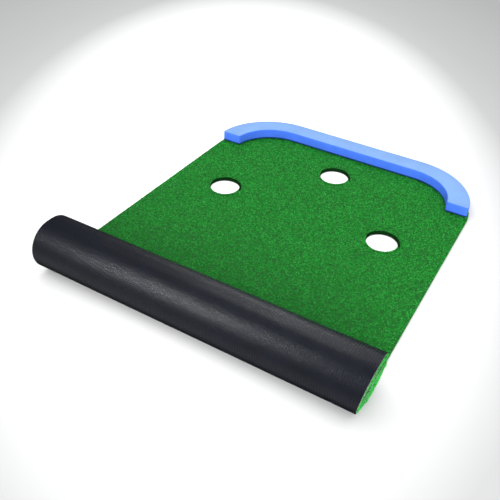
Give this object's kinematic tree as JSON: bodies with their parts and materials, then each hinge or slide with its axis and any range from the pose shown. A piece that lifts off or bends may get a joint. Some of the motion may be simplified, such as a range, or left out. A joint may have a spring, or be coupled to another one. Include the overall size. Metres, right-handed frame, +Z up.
{
  "type": "practice putting mat",
  "caption": "Rubber-backed turf putting runner, part rolled up, with cup holes and a lift-off curved foam bumper round its far end.",
  "frame": {"origin": "on the floor, under the middle of the whole object as it lies, part rolled", "axes": "+Y from the roll towards the bumper, +X to the right seen from the roll, +Z up"},
  "size_m": [1, 1.2356, 0.153],
  "materials": {
    "backing": "satin",
    "scrim": "matte",
    "turf": "matte",
    "bumper_foam": "matte",
    "bumper_top_film": "satin",
    "hook_strip": "matte"
  },
  "bodies": {
    "mat": {"backing_flat": "backing", "scrim_flat": "scrim", "turf_flat": "turf"},
    "strip_1": {"backing_bend_1": "backing", "scrim_bend_1": "scrim", "turf_bend_1": "turf"},
    "strip_2": {"backing_bend_2": "backing", "scrim_bend_2": "scrim", "turf_bend_2": "turf"},
    "strip_3": {"backing_bend_3": "backing", "scrim_bend_3": "scrim", "turf_bend_3": "turf"},
    "strip_4": {"backing_bend_4": "backing", "scrim_bend_4": "scrim", "turf_bend_4": "turf"},
    "strip_5": {"backing_bend_5": "backing", "scrim_bend_5": "scrim", "turf_bend_5": "turf"},
    "strip_6": {"backing_bend_6": "backing", "scrim_bend_6": "scrim", "turf_bend_6": "turf"},
    "strip_7": {"backing_bend_7": "backing", "scrim_bend_7": "scrim", "turf_bend_7": "turf"},
    "strip_8": {"backing_bend_8": "backing", "scrim_bend_8": "scrim", "turf_bend_8": "turf"},
    "roll": {"backing_roll": "backing", "scrim_roll": "scrim", "turf_roll": "turf"},
    "bumper": {"bumper_foam": "bumper_foam", "bumper_top_film": "bumper_top_film", "hook_strip_1": "hook_strip", "hook_strip_2": "hook_strip", "hook_strip_3": "hook_strip", "hook_strip_4": "hook_strip", "hook_strip_5": "hook_strip"}
  },
  "joints": [
    {"name": "unroll_1", "type": "hinge", "parent": "mat", "child": "strip_1", "pos_m": [0, -0.55365, 0], "axis": [1, 0, 0], "range_deg": [0, 20]},
    {"name": "unroll_2", "type": "hinge", "parent": "strip_1", "child": "strip_2", "pos_m": [0, -0.579, 0.00923], "axis": [1, 0, 0], "range_deg": [0, 20]},
    {"name": "unroll_3", "type": "hinge", "parent": "strip_2", "child": "strip_3", "pos_m": [0, -0.59967, 0.02657], "axis": [1, 0, 0], "range_deg": [0, 20]},
    {"name": "unroll_4", "type": "hinge", "parent": "strip_3", "child": "strip_4", "pos_m": [0, -0.61316, 0.04993], "axis": [1, 0, 0], "range_deg": [0, 20]},
    {"name": "unroll_5", "type": "hinge", "parent": "strip_4", "child": "strip_5", "pos_m": [0, -0.61784, 0.0765], "axis": [1, 0, 0], "range_deg": [0, 20]},
    {"name": "unroll_6", "type": "hinge", "parent": "strip_5", "child": "strip_6", "pos_m": [0, -0.61316, 0.10307], "axis": [1, 0, 0], "range_deg": [0, 20]},
    {"name": "unroll_7", "type": "hinge", "parent": "strip_6", "child": "strip_7", "pos_m": [0, -0.59967, 0.12643], "axis": [1, 0, 0], "range_deg": [0, 20]},
    {"name": "unroll_8", "type": "hinge", "parent": "strip_7", "child": "strip_8", "pos_m": [0, -0.579, 0.14377], "axis": [1, 0, 0], "range_deg": [0, 20]},
    {"name": "unroll_9", "type": "hinge", "parent": "strip_8", "child": "roll", "pos_m": [0, -0.55365, 0.153], "axis": [1, 0, 0], "range_deg": [0, 20]},
    {"name": "bumper_lift", "type": "slide", "parent": "mat", "child": "bumper", "axis": [0, 0, 1], "range_m": [0, 0.12]}
  ]
}
